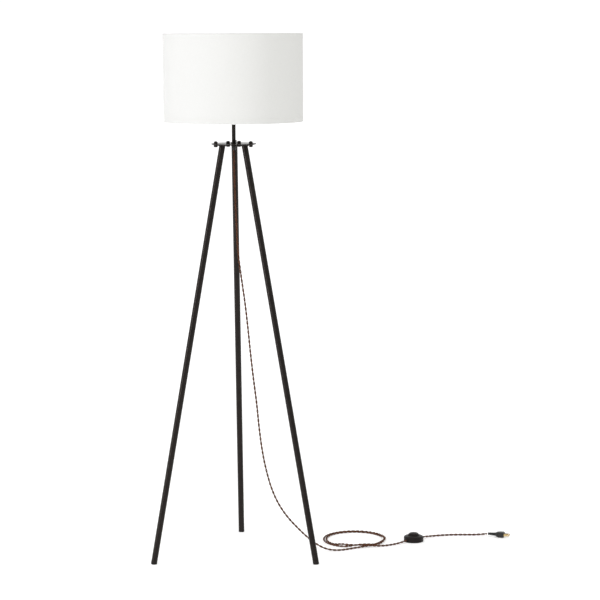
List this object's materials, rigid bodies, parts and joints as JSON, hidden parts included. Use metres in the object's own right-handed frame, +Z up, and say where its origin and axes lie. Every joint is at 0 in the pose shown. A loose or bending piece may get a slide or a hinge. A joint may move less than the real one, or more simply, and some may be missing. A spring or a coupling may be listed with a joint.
{
  "type": "tripod floor lamp",
  "caption": "Tripod floor lamp with straight tube legs bolted to a round hub, a drum shade on a harp, and a twisted cloth cord with a foot switch.",
  "frame": {"origin": "on the floor, on the stem's axis, at the middle of the three feet", "axes": "+Z up along the stem; +Y towards the back leg; +X towards the foot switch"},
  "size_m": [1.0738, 0.4855, 1.539],
  "materials": {
    "blackened_metal": "satin blackened bronze",
    "blackened_fastener": "satin black oxide",
    "foot_rubber": "matt",
    "zinc_steel": "zinc plated",
    "black_plastic": "matt",
    "cord_cloth": "braided cloth, copper brown",
    "brass_plate": "satin",
    "socket_brass": "polished",
    "fibre_board": "matt",
    "phenolic": "satin",
    "bulb_glass": "frosted",
    "bulb_metal": "satin",
    "shade_linen": "off-white cloth",
    "shade_styrene": "matt white",
    "shade_tape": "off-white tape",
    "finial_metal": "satin blackened bronze",
    "switch_plastic": "satin black",
    "button_plastic": "semi-gloss black",
    "block_plastic": "matt cream",
    "pad_rubber": "matt",
    "plug_plastic": "satin black",
    "blade_brass": "polished"
  },
  "bodies": {
    "frame": {"hub_plate": "blackened_metal", "leg_back": "blackened_metal", "leg_left": "blackened_metal", "leg_right": "blackened_metal", "leg_flange_back": "blackened_metal", "leg_flange_left": "blackened_metal", "leg_flange_right": "blackened_metal", "foot_cap_back": "foot_rubber", "foot_cap_left": "foot_rubber", "foot_cap_right": "foot_rubber", "hub_bolts": "blackened_fastener", "hub_washers": "blackened_fastener", "hub_nuts": "blackened_fastener", "stem_collar": "blackened_metal", "stem_tube": "blackened_metal", "stem_nipple": "blackened_fastener", "stem_washer": "blackened_fastener", "stem_nut": "blackened_fastener", "cord_bushing": "black_plastic", "lead_in_stem": "cord_cloth", "harp_saddle": "brass_plate", "harp_wire": "brass_plate", "harp_ferrules": "brass_plate", "socket_cap": "socket_brass", "socket_shell": "socket_brass", "socket_insulator": "fibre_board", "socket_body": "phenolic", "socket_screw_shell": "socket_brass", "socket_contact": "socket_brass", "cord_drop": "cord_cloth", "cord_coil": "cord_cloth", "cord_middle": "cord_cloth", "cord_tail": "cord_cloth", "switch_base": "switch_plastic", "switch_cover": "switch_plastic", "switch_spring": "zinc_steel", "switch_block": "block_plastic", "switch_clamps": "black_plastic", "switch_screws": "zinc_steel", "switch_pads": "pad_rubber", "plug_body": "plug_plastic", "plug_relief": "plug_plastic", "plug_blades": "blade_brass"},
    "stud": {"harp_stud": "brass_plate"},
    "shade": {"shade_fabric": "shade_linen", "shade_liner": "shade_styrene", "shade_top_ring": "zinc_steel", "shade_bottom_ring": "zinc_steel", "shade_top_trim": "shade_tape", "shade_bottom_trim": "shade_tape", "shade_spider": "zinc_steel"},
    "finial": {"finial": "finial_metal"},
    "bulb": {"bulb_glass": "bulb_glass", "bulb_cap": "bulb_metal", "bulb_contact": "phenolic"},
    "button": {"switch_button": "button_plastic"}
  },
  "joints": [
    {"name": "stud_swivel", "type": "hinge", "parent": "frame", "child": "stud", "pos_m": [0, 0, 1.514], "axis": [0, 0, 1], "continuous": true},
    {"name": "shade_lift", "type": "slide", "parent": "stud", "child": "shade", "axis": [0, 0, 1], "range_m": [0, 0.3]},
    {"name": "finial_turn", "type": "hinge", "parent": "shade", "child": "finial", "pos_m": [0, 0, 1.524], "axis": [0, 0, 1], "continuous": true},
    {"name": "bulb_out", "type": "slide", "parent": "frame", "child": "bulb", "axis": [0, 0, 1], "range_m": [0, 0.03]},
    {"name": "button_press", "type": "slide", "parent": "frame", "child": "button", "axis": [0, 0, -1], "range_m": [0, 0.003], "stiffness_N_per_m": 900, "springref_m": -0.002, "deforming": ["switch_spring"]}
  ]
}
